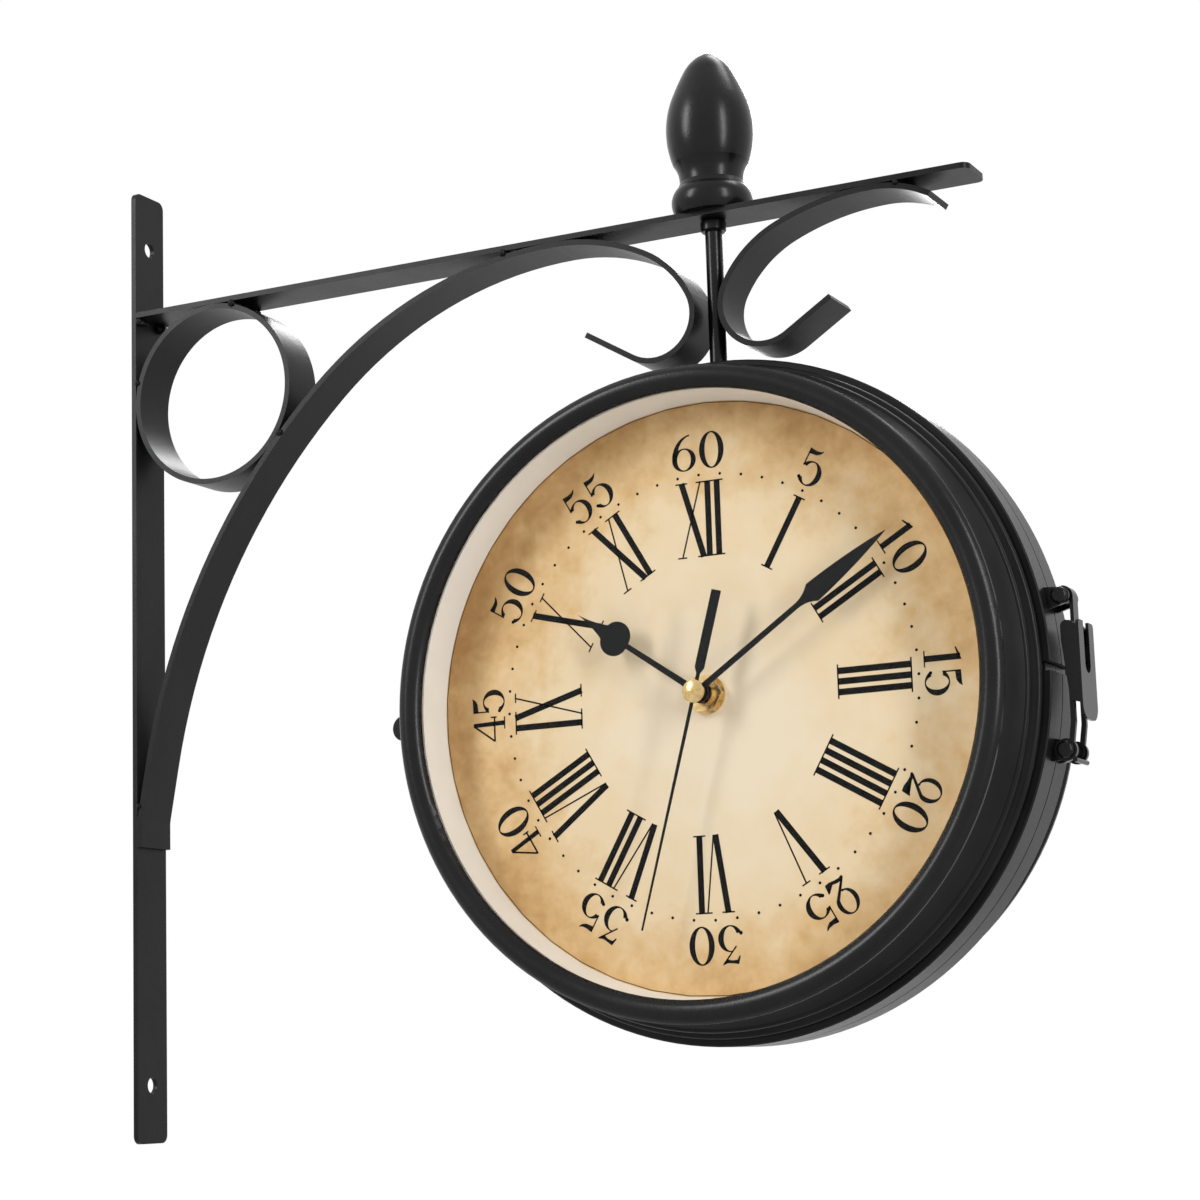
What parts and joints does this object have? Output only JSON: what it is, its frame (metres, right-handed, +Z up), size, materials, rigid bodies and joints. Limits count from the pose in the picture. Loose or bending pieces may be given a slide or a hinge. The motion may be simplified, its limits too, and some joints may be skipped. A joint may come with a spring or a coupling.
{
  "type": "double sided station clock",
  "caption": "Round double sided clock hung by a swivelling rod from a scrolled flat-bar wall bracket, with a clamp band closed by an over-centre latch.",
  "frame": {"origin": "midway between the two screw holes, on the back face of the wall bar", "axes": "+X away from the wall, -Y towards the front dial, +Z up"},
  "size_m": [0.3636, 0.0792, 0.3712],
  "materials": {
    "bracket_paint": "satin",
    "rod_steel": "gloss",
    "gloss_black": "gloss",
    "zinc": "satin",
    "case_black": "satin",
    "glass": "clear",
    "reflector_white": "satin",
    "dial_paper": "matt, aged",
    "movement_plastic": "matt",
    "battery_steel": "satin",
    "brass": "satin",
    "hand_black": "matt",
    "latch_steel": "gloss"
  },
  "bodies": {
    "bracket": {"wall_bar": "bracket_paint", "top_bar": "bracket_paint", "bracket_ring": "bracket_paint", "main_brace": "bracket_paint", "end_scroll": "bracket_paint", "weld_beads": "bracket_paint"},
    "head": {"hanging_rod": "rod_steel", "finial": "gloss_black", "rod_collar": "gloss_black", "rod_saddle": "zinc", "rod_lock_nut": "zinc", "upper_band": "case_black", "band_hinge_pin": "latch_steel", "catch_lugs": "latch_steel", "latch_catch_pin": "latch_steel", "front_shell": "case_black", "front_bezel": "gloss_black", "front_glass": "glass", "front_reflector": "reflector_white", "front_dial": "dial_paper", "front_dial_ring": "reflector_white", "front_movement": "movement_plastic", "front_battery": "battery_steel", "front_battery_contacts": "zinc", "front_hub_bush": "brass", "front_hub_washer": "brass", "front_hub_nut": "brass", "rear_shell": "case_black", "rear_bezel": "gloss_black", "rear_glass": "glass", "rear_reflector": "reflector_white", "rear_dial": "dial_paper", "rear_dial_ring": "reflector_white", "rear_movement": "movement_plastic", "rear_battery": "battery_steel", "rear_battery_contacts": "zinc", "rear_hub_bush": "brass", "rear_hub_washer": "brass", "rear_hub_nut": "brass"},
    "lower_clamp": {"lower_band": "case_black", "anchor_lugs": "latch_steel", "latch_anchor_pin": "latch_steel"},
    "wire": {"latch_wire": "latch_steel"},
    "lever": {"latch_lever": "latch_steel", "latch_lever_pin": "latch_steel"},
    "link": {"latch_link": "latch_steel"},
    "front_hour": {"front_hour_hand": "hand_black"},
    "front_minute": {"front_minute_hand": "hand_black"},
    "front_second": {"front_second_hand": "hand_black", "front_hand_cap": "brass"},
    "front_knob": {"front_set_knob": "movement_plastic"},
    "rear_hour": {"rear_hour_hand": "hand_black"},
    "rear_minute": {"rear_minute_hand": "hand_black"},
    "rear_second": {"rear_second_hand": "hand_black", "rear_hand_cap": "brass"},
    "rear_knob": {"rear_set_knob": "movement_plastic"}
  },
  "joints": [
    {"name": "head_swivel", "type": "hinge", "parent": "bracket", "child": "head", "pos_m": [0.24, 0, 0.132], "axis": [0, 0, 1], "continuous": true},
    {"name": "band_open", "type": "hinge", "parent": "head", "child": "lower_clamp", "pos_m": [0.1185, 0, -0.038], "axis": [0, 1, 0], "range_deg": [0, 2.8]},
    {"name": "wire_swing", "type": "hinge", "parent": "lower_clamp", "child": "wire", "pos_m": [0.35663, 0, -0.0645], "axis": [0, 1, 0], "range_deg": [0, 10]},
    {"name": "lever_throw", "type": "hinge", "parent": "wire", "child": "lever", "pos_m": [0.3596, 0, -0.0255], "axis": [0, -1, 0], "range_deg": [0, 112]},
    {"name": "link_turn", "type": "hinge", "parent": "lever", "child": "link", "pos_m": [0.3596, 0, -0.0335], "axis": [0, -1, 0], "range_deg": [-112, 0]},
    {"name": "front_minute_turn", "type": "hinge", "parent": "head", "child": "front_minute", "pos_m": [0.24, -0.0286, -0.038], "axis": [0, 1, 0], "continuous": true},
    {"name": "front_hour_turn", "type": "hinge", "parent": "head", "child": "front_hour", "pos_m": [0.24, -0.0267, -0.038], "axis": [0, 1, 0], "continuous": true},
    {"name": "front_second_turn", "type": "hinge", "parent": "head", "child": "front_second", "pos_m": [0.24, -0.0303, -0.038], "axis": [0, 1, 0], "continuous": true},
    {"name": "front_knob_turn", "type": "hinge", "parent": "head", "child": "front_knob", "pos_m": [0.24, -0.0035, -0.023], "axis": [0, 1, 0], "continuous": true},
    {"name": "rear_minute_turn", "type": "hinge", "parent": "head", "child": "rear_minute", "pos_m": [0.24, 0.0286, -0.038], "axis": [0, -1, 0], "continuous": true},
    {"name": "rear_hour_turn", "type": "hinge", "parent": "head", "child": "rear_hour", "pos_m": [0.24, 0.0267, -0.038], "axis": [0, -1, 0], "continuous": true},
    {"name": "rear_second_turn", "type": "hinge", "parent": "head", "child": "rear_second", "pos_m": [0.24, 0.0303, -0.038], "axis": [0, -1, 0], "continuous": true},
    {"name": "rear_knob_turn", "type": "hinge", "parent": "head", "child": "rear_knob", "pos_m": [0.24, 0.0035, -0.023], "axis": [0, -1, 0], "continuous": true}
  ],
  "couplings": [
    {"joint": "lever_throw", "follows": "band_open", "ratio": 40},
    {"joint": "link_turn", "follows": "band_open", "ratio": -40},
    {"joint": "front_hour_turn", "follows": "front_minute_turn", "ratio": 0.083333},
    {"joint": "front_second_turn", "follows": "front_minute_turn", "ratio": 60},
    {"joint": "front_knob_turn", "follows": "front_minute_turn", "ratio": -0.33333},
    {"joint": "rear_hour_turn", "follows": "rear_minute_turn", "ratio": 0.083333},
    {"joint": "rear_second_turn", "follows": "rear_minute_turn", "ratio": 60},
    {"joint": "rear_knob_turn", "follows": "rear_minute_turn", "ratio": -0.33333}
  ]
}
